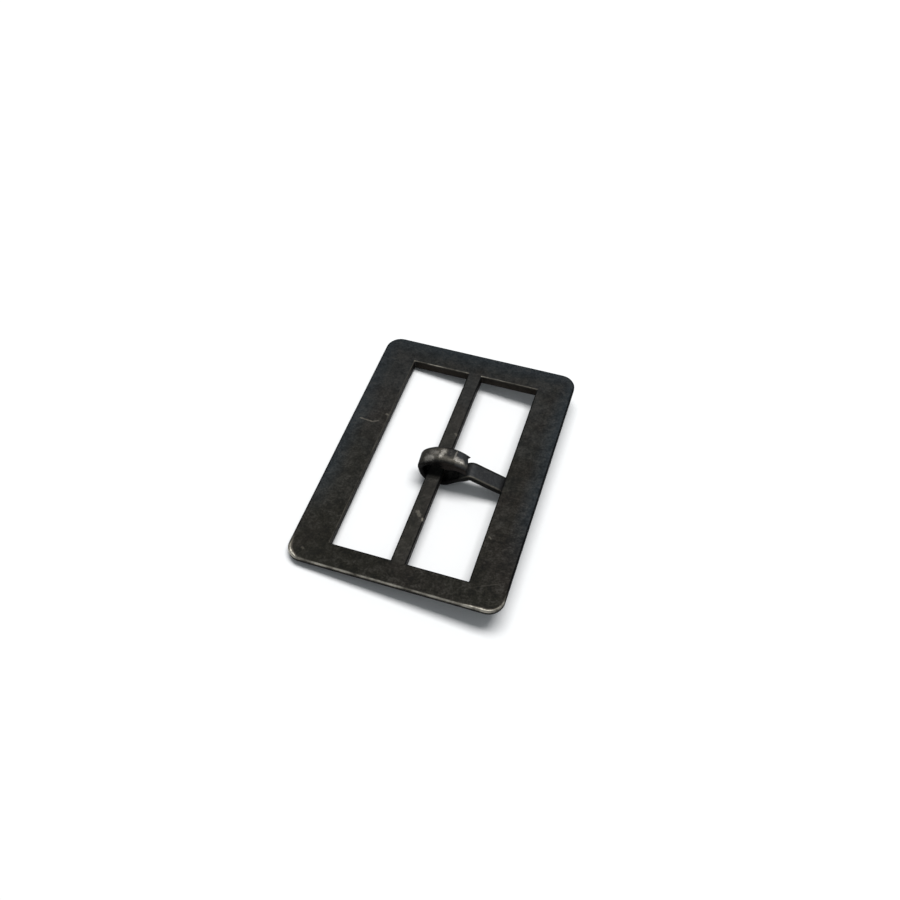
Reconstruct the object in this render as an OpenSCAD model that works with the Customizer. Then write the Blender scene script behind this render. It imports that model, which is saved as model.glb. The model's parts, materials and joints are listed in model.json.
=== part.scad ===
// Center bar buckle, lying face down as it comes to rest on a table: its flat back looks up,
// its left edge is on the table, and the loose tongue props up its right side.
// The pieces are drawn on a level frame, with the middle of its flat back at the origin:
// X across both windows, Y along the bar, Z up. lying() then leans them on the table.

/* [Frame] */
// Width of the frame, across the two windows
frame_width = 40; // [38:0.5:46]
// Length of the frame, along the bar
frame_length = 56.25; // [48:0.25:64]
// Thickness of the frame
frame_thickness = 2; // [1.8:0.1:2.4]
// Width of the left and right rims
side_rim = 7.05; // [6:0.05:8]
// Width of the end rim nearest the viewer
near_rim = 4.75; // [4.2:0.05:6]
// Width of the other end rim
far_rim = 5.45; // [4.2:0.05:6]
// Radius of the frame's outer corners, seen from above
corner_radius = 3; // [2.5:0.1:4]
// Chamfer round the outer edge of the flat back
back_chamfer = 0.35; // [0.2:0.05:0.5]
// Height of the upright part of the outer edge, measured down from the back
wall_height = 0.9; // [0.7:0.05:1.2]
// Width of the sloping border of the front face
front_slope = 1.6; // [1:0.1:2.4]
// Chamfer round the windows on the flat back
window_break = 0.12; // [0.05:0.01:0.2]
// Chamfer round the windows on the front face
window_slope = 0.45; // [0.3:0.05:0.6]

/* [Bar] */
// Width of the bar between the windows
bar_width = 2.8; // [2.4:0.1:2.8]

/* [Tongue] */
// Width of the tongue's strip
strip_width = 3.1; // [2.8:0.1:3.4]
// Thickness of the strip round the curl
curl_thickness = 1.2; // [1.1:0.05:1.2]
// Thickness of the strip's straight shaft
shaft_thickness = 1.1; // [1:0.05:1.15]
// Turn of the tongue on the bar, seen from above
tongue_yaw = 4.4; // [0:0.1:5]
// How far the middle of the curl is from the middle of the bar
tongue_offset = -1.45; // [-6:0.05:6]
// Reach of the tongue's tip from the middle of the bar
tip_reach = 18.4; // [17.6:0.1:18.8]
// How far the burr on the strip's cut end sticks out
burr_length = 0.6; // [0.3:0.1:0.9]
// How far the crown of the curl spreads on its near side, where it was hammered round
crown_spread = 0.45; // [0.2:0.05:0.6]

/* [Hidden] */
$fn = 96;

half_width = frame_width / 2;
half_length = frame_length / 2;
corner_x = half_width - corner_radius;
corner_y = half_length - corner_radius;
// Side in X, side in Y and turn of each corner
corner_places = [[1, 1, 0], [-1, 1, 90], [-1, -1, 180], [1, -1, 270]];

// Where the strip starts, on the outer face of its cut end, and which way it sets off
start_x = 5.73;
start_z = 2.97;
start_heading = 140.5;
// Largest turn between two points of the strip's outline
bend_step = 5;

// The strip from its cut end to its tip, along its outer face. Each row is one stretch:
// [turn in degrees, length, thickness at its end]
strip_rows = [
    [ 80, 8.91, curl_thickness],  // crown, over the bar
    [ 61, 3.23, curl_thickness],  // shoulder of the curl
    [  0, 1.13, curl_thickness],  // back of the curl
    [ 59, 3.34, curl_thickness],  // turn under the bar
    [ 29, 2.64, curl_thickness],  // belly
    [ 30, 1.46, curl_thickness],  // bend at the table
    [  0, 4.6, shaft_thickness],  // riser
    [-65, 0.55, shaft_thickness], // knee under the cut end
    [  0, 14, shaft_thickness]    // shaft, out to the tip
];
TURN = 0;
LENGTH = 1;
THICK = 2;

// A point of the strip's outer face is [x, z, heading, thickness of the strip there].
// This is the point a share of the way along one row that starts at the point from.
function along(from, row, share) =
    let (
        turned = row[TURN] * share,
        radius = row[TURN] == 0 ? 0 : row[LENGTH] / (row[TURN] * PI / 180),
        heading = from[2] + turned,
        dx = row[TURN] == 0 ? row[LENGTH] * share * cos(heading)
            : radius * (sin(heading) - sin(from[2])),
        dz = row[TURN] == 0 ? row[LENGTH] * share * sin(heading)
            : radius * (cos(from[2]) - cos(heading))
    )
    [from[0] + dx, from[1] + dz, heading, from[3] + (row[THICK] - from[3]) * share];

// Every point of the strip's outer face, row by row
function walk(from, i = 0) =
    i == len(strip_rows) ? [from]
    : let (steps = max(1, ceil(abs(strip_rows[i][TURN]) / bend_step)))
      concat([for (k = [0:steps - 1]) along(from, strip_rows[i], k / steps)],
             walk(along(from, strip_rows[i], 1), i + 1));

// The same point on the strip's inner face
function inner(point) =
    [point[0] - point[3] * sin(point[2]), point[1] + point[3] * cos(point[2])];

// The closed outline of the strip along those points of its outer face
function outline(points) =
    concat([for (point = points) [point[0], point[1]]],
           [for (i = [len(points) - 1:-1:0]) inner(points[i])]);

outer_face = walk([start_x, start_z, start_heading, curl_thickness]);
strip_outline = outline(outer_face);

// The crown and the shoulder are the first two rows
crown_steps = ceil(strip_rows[0][TURN] / bend_step) + ceil(strip_rows[1][TURN] / bend_step);
crown_outline = outline([for (i = [0:crown_steps]) outer_face[i]]);

// Underside of the tip, on the line of the shaft's lower face
shaft_end = outer_face[len(outer_face) - 1];
tip_z = shaft_end[1] - (shaft_end[0] - tip_reach) * tan(shaft_end[2]);

// The frame touches the table where its front face begins, and the tongue with its tip
rest_x = -half_width + front_slope;
lean = atan((-frame_thickness - tip_z) / (tip_reach * cos(tongue_yaw) - rest_x));

// Half the size of a cutting block that is larger than the tongue
block = 40;

// The outer border's section, from the front face round to the back, with its edge at x = width
function border(width) = [
    [width - front_slope, -frame_thickness],
    [width, -wall_height],
    [width, -back_chamfer],
    [width - back_chamfer, 0]
];

// A window edge's section, from the back round to the front face. The window is at x < 0.
window_edge = [
    [window_break, 0],
    [0, -window_break],
    [0, -frame_thickness + window_slope],
    [window_slope, -frame_thickness]
];

// A straight rim along Y whose window edge is at x = 0 and whose outer edge is at x = width
module rim(width, length) {
    rotate([90, 0, 0])
        linear_extrude(length, center = true)
            polygon(concat(border(width), window_edge));
}

// A rounded corner of the frame: a quarter turn of the rim's outer border
module corner() {
    rotate_extrude(angle = 90)
        polygon(concat(border(corner_radius), [[0, 0], [0, -frame_thickness]]));
}

// The bar that the strap and the tongue turn on
module bar() {
    half_bar = bar_width / 2;
    rotate([90, 0, 0])
        linear_extrude(frame_length - near_rim - far_rim + 2 * window_slope, center = true)
            polygon(concat(
                [for (point = window_edge) [point[0] - half_bar, point[1]]],
                [for (i = [len(window_edge) - 1:-1:0]) [half_bar - window_edge[i][0], window_edge[i][1]]]
            ));
}

// Leans the level pieces on the table and sets the frame's outline over the origin
module lying() {
    rest_z = rest_x * sin(lean) - frame_thickness * cos(lean);
    low_x = -half_width * cos(lean) + back_chamfer * sin(lean);
    high_x = half_width * cos(lean) + wall_height * sin(lean);
    translate([-(low_x + high_x) / 2, 0, -rest_z])
        rotate([0, -lean, 0])
            children();
}

// One casting: four rims, four corners and the bar
module frame() {
    color("#3a3a36")
        lying() {
            for (side = [0, 180])
                rotate([0, 0, side])
                    translate([half_width - side_rim, 0, 0])
                        rim(side_rim, 2 * corner_y);
            translate([0, half_length - far_rim, 0])
                rotate([0, 0, 90])
                    rim(far_rim, 2 * corner_x);
            translate([0, -half_length + near_rim, 0])
                rotate([0, 0, -90])
                    rim(near_rim, 2 * corner_x);
            for (place = corner_places)
                translate([place[0] * corner_x, place[1] * corner_y, 0])
                    rotate([0, 0, place[2]])
                        corner();
            translate([0, (near_rim - far_rim) / 2, 0])
                bar();
        }
}

// The burr that the shears left on the far corner of the strip's cut end
module burr() {
    half_strip = strip_width / 2;
    translate([start_x, 0, start_z])
        rotate([0, 180 - start_heading, 0])
            translate([0, 0, -curl_thickness])
                linear_extrude(curl_thickness)
                    polygon([
                        [-burr_length, half_strip - burr_length],
                        [0, half_strip - burr_length],
                        [burr_length, half_strip],
                        [-burr_length, half_strip]
                    ]);
}

// One bent strip: it curls round the bar and runs out under the right rim to a round tip
module tongue() {
    color("#45433d")
        lying()
            translate([0, tongue_offset, 0])
                rotate([0, 0, tongue_yaw]) {
                    intersection() {
                        rotate([90, 0, 0])
                            linear_extrude(strip_width, center = true)
                                polygon(strip_outline);
                        union() {
                            translate([tip_reach - strip_width / 2 - block, -block / 2, -block / 2])
                                cube(block);
                            translate([tip_reach - strip_width / 2, 0, -block / 2])
                                cylinder(d = strip_width, h = block);
                        }
                    }
                    translate([0, -crown_spread, 0])
                        rotate([90, 0, 0])
                            linear_extrude(strip_width, center = true)
                                polygon(crown_outline);
                    burr();
                }
}

frame();
tongue();
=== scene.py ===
# %% [markdown]
# # Center bar buckle
#
# A flat belt buckle lies face down on a white table. Its flat back looks up, its left edge is on
# the table, and the loose tongue under it props up its right side. Two pieces make it: a cast
# frame with a bar across the middle, and a bent steel tongue that turns on the bar. Both are
# dark gunmetal, rubbed bright where fingers and leather reach them, with painted highlights and
# painted shade besides.

# %% Load the imported model
import json
import math

import bpy
import numpy as np
from mathutils import Matrix, Vector

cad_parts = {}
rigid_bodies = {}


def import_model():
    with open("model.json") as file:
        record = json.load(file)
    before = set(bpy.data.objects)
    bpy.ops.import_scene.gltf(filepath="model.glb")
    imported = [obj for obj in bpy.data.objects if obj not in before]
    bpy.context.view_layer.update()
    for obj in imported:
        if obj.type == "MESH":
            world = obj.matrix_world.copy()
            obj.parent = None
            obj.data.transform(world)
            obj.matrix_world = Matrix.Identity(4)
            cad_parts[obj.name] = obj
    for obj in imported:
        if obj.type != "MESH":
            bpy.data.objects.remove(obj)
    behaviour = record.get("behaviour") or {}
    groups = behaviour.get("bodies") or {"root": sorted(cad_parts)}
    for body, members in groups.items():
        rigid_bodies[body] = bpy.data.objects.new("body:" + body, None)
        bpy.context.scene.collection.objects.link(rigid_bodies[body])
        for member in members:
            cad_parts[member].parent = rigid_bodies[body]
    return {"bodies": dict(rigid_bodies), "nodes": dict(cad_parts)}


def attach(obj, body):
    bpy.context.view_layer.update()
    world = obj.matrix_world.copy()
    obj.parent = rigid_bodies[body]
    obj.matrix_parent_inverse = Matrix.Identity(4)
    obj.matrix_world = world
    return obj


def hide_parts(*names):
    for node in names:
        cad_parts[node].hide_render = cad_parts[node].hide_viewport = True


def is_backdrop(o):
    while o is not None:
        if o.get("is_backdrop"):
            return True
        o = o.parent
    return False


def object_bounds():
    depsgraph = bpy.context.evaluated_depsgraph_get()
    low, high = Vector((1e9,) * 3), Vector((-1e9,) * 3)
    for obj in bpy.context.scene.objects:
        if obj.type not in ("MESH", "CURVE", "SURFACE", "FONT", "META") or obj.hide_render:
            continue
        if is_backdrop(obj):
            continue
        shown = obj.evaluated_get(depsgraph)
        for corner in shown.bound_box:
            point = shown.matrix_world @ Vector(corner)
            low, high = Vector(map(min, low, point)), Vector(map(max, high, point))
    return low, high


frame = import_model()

MM = 0.001
CAD_BOX = [list(corner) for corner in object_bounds()]


def in_mm(values, digits=2):
    """Lengths in mm, rounded for printing."""
    return [round(float(value) / MM, digits) for value in values]


print("bodies:", sorted(frame["bodies"]), "box in mm:", [in_mm(corner) for corner in CAD_BOX])

# %% [markdown]
# ## Where the frame lies
#
# The buckle is easier to shape while it is level, so both pieces are made on a level plate whose
# middle is the origin, and are then laid down. The lean could be typed in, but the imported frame
# already holds it: the biggest face that looks up is the flat back, so its normal gives the lean,
# and the frame's own extents, once it is turned level, give the size of the plate.

# %% Read the lean and the plate's size
LOOKS_UP = 0.9
cad_frame = frame["nodes"]["frame"].data
flat_back = max((p for p in cad_frame.polygons if p.normal.z > LOOKS_UP), key=lambda p: p.area)
LEAN = math.atan2(-flat_back.normal.x, flat_back.normal.z)
to_level = Matrix.Rotation(LEAN, 4, "Y")
level_points = np.array([to_level @ v.co for v in cad_frame.vertices])
low, high = level_points.min(0), level_points.max(0)
plate_middle = Vector(((low[0] + high[0]) / 2, (low[1] + high[1]) / 2, high[2]))
LAY_DOWN = to_level.inverted() @ Matrix.Translation(plate_middle)
WIDTH, LENGTH, THICKNESS = high - low
print(f"lean {math.degrees(LEAN):.2f} degrees, plate in mm:", in_mm((WIDTH, LENGTH, THICKNESS)))

# %% [markdown]
# ## The camera
#
# The camera stands where the photograph was taken from. Straight edges of the plate give that
# place: their lines run towards shared vanishing points, and only one camera sees the plate so.
# It is written as a position over the level plate, a turn round the vertical, a look down and a
# slight roll, and is then laid down with the plate, so it keeps its view of the plate.

# %% Camera
CAMERA_PLACE = Vector((36.18, -102.117, 143.439)) * MM
CAMERA_TURN, CAMERA_DOWN, CAMERA_ROLL = (math.radians(a) for a in (18.504, 52.342, -0.747))
LENS_MM, SENSOR_MM = 38.0, 36.0


def put_in_scene(name, data):
    """A new object in the scene, made of that mesh, curve, light or camera."""
    thing = bpy.data.objects.new(name, data)
    bpy.context.scene.collection.objects.link(thing)
    return thing


camera_data = bpy.data.cameras.new("camera")
camera_data.lens = LENS_MM
camera_data.sensor_width = SENSOR_MM
camera_data.clip_start = 10 * MM
camera = put_in_scene("camera", camera_data)
looks = (Matrix.Rotation(CAMERA_TURN, 4, "Z")
         @ Matrix.Rotation(math.pi / 2 - CAMERA_DOWN, 4, "X")
         @ Matrix.Rotation(CAMERA_ROLL, 4, "Z"))
camera.matrix_world = LAY_DOWN @ Matrix.Translation(CAMERA_PLACE) @ looks
bpy.context.scene.camera = camera
print("camera at", in_mm(camera.matrix_world.translation, 1), "mm")

# %% [markdown]
# ## The table and the light
#
# The buckle was photographed on white board in a white tent. The shadows tell how: they hug the
# feet of the walls on every side, so most of the light came from all round, which a pale world
# light gives. They are a little longer towards the viewer, so the rest came from a soft light
# overhead and slightly behind. One rectangular area light gives that part. The camera itself sees
# a brighter wall beyond the board, as the tent would look. The board is almost white in the
# picture, so the colours are shown without a film curve.

# %% Table, light and picture colours
TABLE_SIZE = 1.4
BOARD_SHADES, BOARD_ROUGHNESS, BOARD_SHEEN = (0.795, 0.815), 0.8, 0.1
GRAIN_SCALE, GRAIN_DETAIL = 900.0, 3.0
LIGHT_SIZE, LIGHT_POWER, LIGHT_PLACE = (0.8, 0.36), 12.0, Vector((0.0, 0.2, 1.0))
FILL_COLOR, FILL_STRENGTH = (0.90, 0.96, 1.0, 1.0), 0.32
WALL_COLOR, WALL_STRENGTH = (0.97, 0.98, 1.0, 1.0), 0.95


def add(tree, kind, values=None, **settings):
    """A new node with its settings. Its inputs are set to values or joined to other sockets."""
    node = tree.nodes.new(kind)
    for key, value in settings.items():
        setattr(node, key, value)
    for key, value in (values or {}).items():
        if isinstance(value, bpy.types.NodeSocket):
            tree.links.new(value, node.inputs[key])
        else:
            node.inputs[key].default_value = value
    return node


def spread(tree, value, low, high, to_low=0.0, to_high=1.0):
    """The value stretched so that low and high become to_low and to_high, and clamped."""
    return add(tree, "ShaderNodeMapRange",
               {"Value": value, "From Min": low, "From Max": high,
                "To Min": to_low, "To Max": to_high}).outputs["Result"]


def new_material(name, values):
    """A material, its node tree, and its Principled BSDF with those values."""
    material = bpy.data.materials.new(name)
    material.use_nodes = True
    shader = material.node_tree.nodes["Principled BSDF"]
    for key, value in values.items():
        shader.inputs[key].default_value = value
    return material, material.node_tree, shader


board, board_tree, board_shader = new_material(
    "white_board", {"Roughness": BOARD_ROUGHNESS, "Specular IOR Level": BOARD_SHEEN})
board_place = add(board_tree, "ShaderNodeTexCoord").outputs["Object"]
grain = add(board_tree, "ShaderNodeTexNoise",
            {"Vector": board_place, "Scale": GRAIN_SCALE, "Detail": GRAIN_DETAIL})
board_tree.links.new(spread(board_tree, grain.outputs["Fac"], 0, 1, *BOARD_SHADES),
                     board_shader.inputs["Base Color"])

half = TABLE_SIZE / 2
table_mesh = bpy.data.meshes.new("table")
table_mesh.from_pydata([(-half, -half, 0), (half, -half, 0), (half, half, 0), (-half, half, 0)],
                       [], [(0, 1, 2, 3)])
table_mesh.materials.append(board)
table = put_in_scene("table", table_mesh)
table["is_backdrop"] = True

softbox_data = bpy.data.lights.new("softbox", "AREA")
softbox_data.shape = "RECTANGLE"
softbox_data.size, softbox_data.size_y = LIGHT_SIZE
softbox_data.energy = LIGHT_POWER
softbox = put_in_scene("softbox", softbox_data)
softbox.location = LIGHT_PLACE
softbox.rotation_euler = (-LIGHT_PLACE).to_track_quat("-Z", "Y").to_euler()

world = bpy.data.worlds.new("fill")
world.use_nodes = True
sky = world.node_tree
fill = sky.nodes["Background"]
fill.inputs["Color"].default_value = FILL_COLOR
fill.inputs["Strength"].default_value = FILL_STRENGTH
wall = add(sky, "ShaderNodeBackground", {"Color": WALL_COLOR, "Strength": WALL_STRENGTH})
camera_ray = add(sky, "ShaderNodeLightPath").outputs["Is Camera Ray"]
seen = add(sky, "ShaderNodeMixShader", {0: camera_ray, 1: fill.outputs[0], 2: wall.outputs[0]})
sky.links.new(seen.outputs[0], sky.nodes["World Output"].inputs["Surface"])
bpy.context.scene.world = world
bpy.context.scene.view_settings.view_transform = "Standard"
print("softbox", LIGHT_SIZE, "m at", [round(v, 2) for v in LIGHT_PLACE])

# %% [markdown]
# ## The frame: a grid cut to the plate
#
# The frame is one casting: four rims, two windows and a bar. It could be a box with two holes
# and a Bevel modifier, but then the worn edges would have no faces to carry them, and the round
# corners would pinch. So the plate is ruled like graph paper, with narrow rows beside every edge
# and wide ones between. Cells over a window are left out. At the four corners the square rows
# are pushed onto quarter circles, so the same narrow rows follow the edge all the way round.

# %% The frame's sizes
SIDE_RIM, NEAR_RIM, FAR_RIM = 7.05 * MM, 4.75 * MM, 5.45 * MM
BAR_WIDTH = 2.8 * MM
CORNER_RADIUS = 3.0 * MM
BACK_CHAMFER = 0.35 * MM
WALL_HEIGHT = 0.9 * MM
FRONT_SLOPE = 1.6 * MM
WINDOW_BREAK = 0.12 * MM
WINDOW_SLOPE = 0.45 * MM

# How far from the plate's border and from a window each narrow row is, in mm
BORDER_ROWS = (0, 0.04, 0.09, 0.15, 0.22, 0.29, 0.36, 0.45, 0.65, 1.35, 1.5, 1.6, 1.7, 1.85)
WINDOW_ROWS = (0, 0.03, 0.07, 0.12, 0.2, 0.33, 0.45, 0.57)
ROW_PITCH, SAME_PLACE = 0.34 * MM, 1e-7
half_width, half_length = WIDTH / 2, LENGTH / 2
near_y, far_y = -half_length + NEAR_RIM, half_length - FAR_RIM
WINDOWS = [(-half_width + SIDE_RIM, -BAR_WIDTH / 2, near_y, far_y),
           (BAR_WIDTH / 2, half_width - SIDE_RIM, near_y, far_y)]
print("windows", [in_mm(window) for window in WINDOWS])


# %% Rule the plate
def ruled(half_size, window_edges):
    """Row places across the plate: narrow rows beside each edge, ROW_PITCH or less between."""
    rows = {-half_size + CORNER_RADIUS, half_size - CORNER_RADIUS}
    for offset in BORDER_ROWS:
        rows |= {-half_size + offset * MM, half_size - offset * MM}
    for edge, side in window_edges:
        rows |= {edge + side * offset * MM for offset in WINDOW_ROWS}
    ordered = [min(rows)]
    for row in sorted(rows):
        gap = row - ordered[-1]
        if gap > SAME_PLACE:
            steps = math.ceil(gap / ROW_PITCH)
            ordered += [ordered[-1] + gap * (k + 1) / steps for k in range(steps)]
    return np.array(ordered)


bar_edge, rim_edge = BAR_WIDTH / 2, half_width - SIDE_RIM
columns = ruled(half_width, [(-rim_edge, -1), (-bar_edge, 1), (bar_edge, -1), (rim_edge, 1)])
rows = ruled(half_length, [(near_y, -1), (far_y, 1)])
X, Y = np.meshgrid(columns, rows, indexing="ij")
from_side, from_end = half_width - np.abs(X), half_length - np.abs(Y)
from_border = np.minimum(from_side, from_end)
from_window = np.full(X.shape, 1.0)
for x0, x1, y0, y1 in WINDOWS:
    beside = np.maximum(np.maximum(x0 - X, X - x1), np.maximum(y0 - Y, Y - y1))
    from_window = np.minimum(from_window, beside)
print("ruled", X.shape[0], "columns and", X.shape[1], "rows")


# %% Push the square corners onto quarter circles
across, along = CORNER_RADIUS - from_side, CORNER_RADIUS - from_end
in_corner = (across > 0) & (along > 0)
longer, shorter = np.maximum(across, along), np.minimum(across, along)
angle = np.where(in_corner, math.pi / 4 * shorter / np.where(in_corner, longer, 1), 0)
angle = np.where(across >= along, angle, math.pi / 2 - angle)
plan_x = np.where(in_corner, half_width - CORNER_RADIUS + longer * np.cos(angle), np.abs(X))
plan_y = np.where(in_corner, half_length - CORNER_RADIUS + longer * np.sin(angle), np.abs(Y))
plan_x, plan_y = plan_x * np.sign(X), plan_y * np.sign(Y)
print("rows bent at the corners:", int(in_corner.sum()), "points")

# %% [markdown]
# ## The frame's edges
#
# Seen in section, the back is flat with a small worn round-over at its outer edge, then comes a
# low upright wall, and the front face slopes in from it. The window edges are nearly sharp on the
# back and chamfered on the front, but the far walls of the windows stand almost their full
# height. Each of these is a height that follows from the distance to the edge, so two short rules
# give the back's and the front's height at every point of the grid.

# %% Heights of the back and the front
ROUND_OVER = 1.5
SOFT_CHAMFER, SOFT_SLOPE = 0.05 * MM, 0.2 * MM
FAR_WINDOW_SLOPE, FAR_WALL_FROM, FAR_WALL_TO = 0.1 * MM, 19 * MM, 22 * MM


def soft_step(value, soft):
    """0 below 0 and value above it, with a rounded bend of that softness between."""
    bend = (value + soft) ** 2 / (4 * soft)
    return np.where(value <= -soft, 0, np.where(value >= soft, value, bend))


inside_edge = np.clip(BACK_CHAMFER - from_border, 0, BACK_CHAMFER)
round_over = (BACK_CHAMFER ** ROUND_OVER - inside_edge ** ROUND_OVER) ** (1 / ROUND_OVER)
back_z = np.minimum(round_over - BACK_CHAMFER,
                    -soft_step(WINDOW_BREAK - from_window, SOFT_CHAMFER))
slope = (THICKNESS - WALL_HEIGHT) / FRONT_SLOPE
front_z = -THICKNESS + slope * soft_step(FRONT_SLOPE - from_border, SOFT_SLOPE)
towards_far = np.clip((plan_y - FAR_WALL_FROM) / (FAR_WALL_TO - FAR_WALL_FROM), 0, 1)
window_slope = WINDOW_SLOPE + (FAR_WINDOW_SLOPE - WINDOW_SLOPE) * towards_far
front_z = np.maximum(front_z, -THICKNESS + soft_step(window_slope - from_window, SOFT_CHAMFER))
on_metal = from_window > -SAME_PLACE
print("lowest back and highest front in mm:",
      in_mm((back_z[on_metal].min(), front_z[on_metal].max())))

# %% [markdown]
# ## Where the frame is rubbed
#
# Handling takes the dark finish off the outer edges first, and hardly at all on the flat faces.
# The bright line is made strongest along the near edge and round the two near corners, and on
# the far and the left edges of the windows, dulled by the belt. These edges are turned to the
# viewer, so the line along them is partly wear and partly painted highlight. All other edges are
# painted darker than the faces. The mesh carries this as a number at each point, called rub,
# which goes below 0 where the edges are painted dark. The material later breaks it up with
# noise, so the bright metal shows as an uneven line and not as a painted stripe.

# %% Rub: 1 is bare metal and painted highlight, 0 is the plain finish, below 0 is painted dark
NEAR_RUB_AND_HIGHLIGHT, OTHER_RUB, DARK_EDGE_STRENGTH = 1.0, 0.1, 0.9
FAR_WINDOW_RUB_AND_HIGHLIGHT, LEFT_WINDOW_RUB_AND_HIGHLIGHT, FRONT_RUB = 0.52, 0.3, 0.5
WALL_RUB, WINDOW_WALL_RUB = 0.08, 0.016
RUB_STARTS, RUB_FULL = -21 * MM, -27 * MM
# Lines of wear and highlight, and of painted dark, beside an edge: their middle and spread in mm
BORDER_LINE, FAR_LINE, LEFT_LINE = (0.15, 0.13), (0.07, 0.1), (0.06, 0.1)
DARK_BORDER_LINE, DARK_WINDOW_LINE = (0.05, 0.22), (0.03, 0.15)
FRONT_LINE, FRONT_WINDOW_LINE = (FRONT_SLOPE / MM, 0.2), (WINDOW_SLOPE / MM, 0.12)
# What a worn and highlighted corner adds to the border's line
CORNER_ADDS = (0.3, 1.3)
# The two near corners: X, Y and reach in mm, and how much wider the line is there
WORN_AND_HIGHLIT_CORNERS = [(-19.5, -26.3, 2.2, 0.3), (16.8, -27.8, 2.6, 0.14)]
RIM_FADE, RIM_MARGIN = 0.1 * MM, 0.02 * MM


def ridge(distance, middle, spread):
    """1 where the distance is that middle in mm, falling off on both sides."""
    return np.exp(-((distance - middle * MM) / (spread * MM)) ** 2)


# The near edge gets the strongest line, partly wear and partly painted highlight
nearness = np.clip((RUB_STARTS - plan_y) / (RUB_STARTS - RUB_FULL), 0, 1)
nearness = nearness ** 2 * (3 - 2 * nearness)
edge_rub_and_highlight = OTHER_RUB + (NEAR_RUB_AND_HIGHLIGHT - OTHER_RUB) * nearness
wide = sum(wider * np.exp(-((plan_x - x * MM) ** 2 + (plan_y - y * MM) ** 2) / (reach * MM) ** 2)
           for x, y, reach, wider in WORN_AND_HIGHLIT_CORNERS)
border_middle, border_spread = (line + more * wide for line, more in zip(BORDER_LINE, CORNER_ADDS))
on_far_rim = np.clip((plan_y - far_y) / RIM_FADE + 1, 0, 1)
on_left_rim = (plan_x < -half_width + SIDE_RIM + RIM_MARGIN) & (plan_y < far_y)
back_rub_and_highlight = np.maximum(edge_rub_and_highlight * ridge(from_border, border_middle, border_spread),
                      FAR_WINDOW_RUB_AND_HIGHLIGHT * on_far_rim * ridge(from_window, *FAR_LINE))
back_rub_and_highlight = np.maximum(back_rub_and_highlight, LEFT_WINDOW_RUB_AND_HIGHLIGHT * on_left_rim * ridge(from_window, *LEFT_LINE))
# All edges but the near ones and the far and left window edges are painted darker than the faces
dark_edges = np.maximum((1 - nearness) * ridge(from_border, *DARK_BORDER_LINE),
                  (1 - on_far_rim) * (1 - on_left_rim) * ridge(from_window, *DARK_WINDOW_LINE))
back_rub_and_highlight = back_rub_and_highlight - DARK_EDGE_STRENGTH * dark_edges
front_rub = FRONT_RUB * np.maximum(ridge(from_border, *FRONT_LINE),
                                   ridge(from_window, *FRONT_WINDOW_LINE))
print(f"rub on the back goes from {back_rub_and_highlight[on_metal].min():.2f} to {back_rub_and_highlight.max():.2f}")


# %% Build the frame's mesh
def surface(name, points, faces, rub, place_name, places):
    """A smooth piece that carries a rub value and a place at each of its points."""
    mesh = bpy.data.meshes.new(name)
    mesh.from_pydata(points, [], faces)
    mesh.attributes.new("rub", "FLOAT", "POINT").data.foreach_set("value", rub)
    carried = mesh.attributes.new(place_name, "FLOAT_VECTOR", "POINT")
    carried.data.foreach_set("vector", np.array(places).ravel())
    mesh.polygons.foreach_set("use_smooth", [True] * len(mesh.polygons))
    return put_in_scene(name, mesh)


class Shell:
    """Points with a rub value, and the faces between them."""

    def __init__(self):
        self.points, self.rub, self.faces = [], [], []

    def grid(self, x, y, z, rub):
        """Adds a grid of points and returns their numbers in the same shape."""
        first = len(self.points)
        self.points += list(zip(x.ravel(), y.ravel(), z.ravel()))
        self.rub += list(rub.ravel())
        return np.arange(first, len(self.points)).reshape(x.shape)

    def wall(self, loop, levels, rub, top, bottom):
        """Quads down a wall, round a closed loop of the grid's points."""
        ring = top[loop]
        for level in levels:
            below = self.grid(plan_x[loop], plan_y[loop], np.full(len(ring), level), rub[loop])
            self.quads(ring, below)
            ring = below
        self.quads(ring, bottom[loop])

    def quads(self, upper, lower):
        """Quads between two closed rings of points."""
        for k in range(len(upper)):
            n = (k + 1) % len(upper)
            self.faces.append((upper[k], lower[k], lower[n], upper[n]))

    def piece(self, name):
        """The finished piece, with the points that no face uses left out."""
        used = sorted({p for face in self.faces for p in face})
        renumber = {p: k for k, p in enumerate(used)}
        points = [self.points[p] for p in used]
        return surface(name, points, [[renumber[p] for p in face] for face in self.faces],
                       [self.rub[p] for p in used], "level", points)


def loop_round(i0, i1, j0, j1):
    """Grid numbers once round a rectangle, anticlockwise from above."""
    i = list(range(i0, i1)) + [i1] * (j1 - j0) + list(range(i1, i0, -1)) + [i0] * (j1 - j0)
    j = [j0] * (i1 - i0) + list(range(j0, j1)) + [j1] * (i1 - i0) + list(range(j1, j0, -1))
    return np.array(i), np.array(j)


OUTER_LEVELS = [-0.45 * MM, -0.6 * MM, -0.75 * MM, -0.85 * MM]
WINDOW_LEVELS = [-0.3 * MM, -0.6 * MM, -0.95 * MM, -1.3 * MM, -1.48 * MM]

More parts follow.
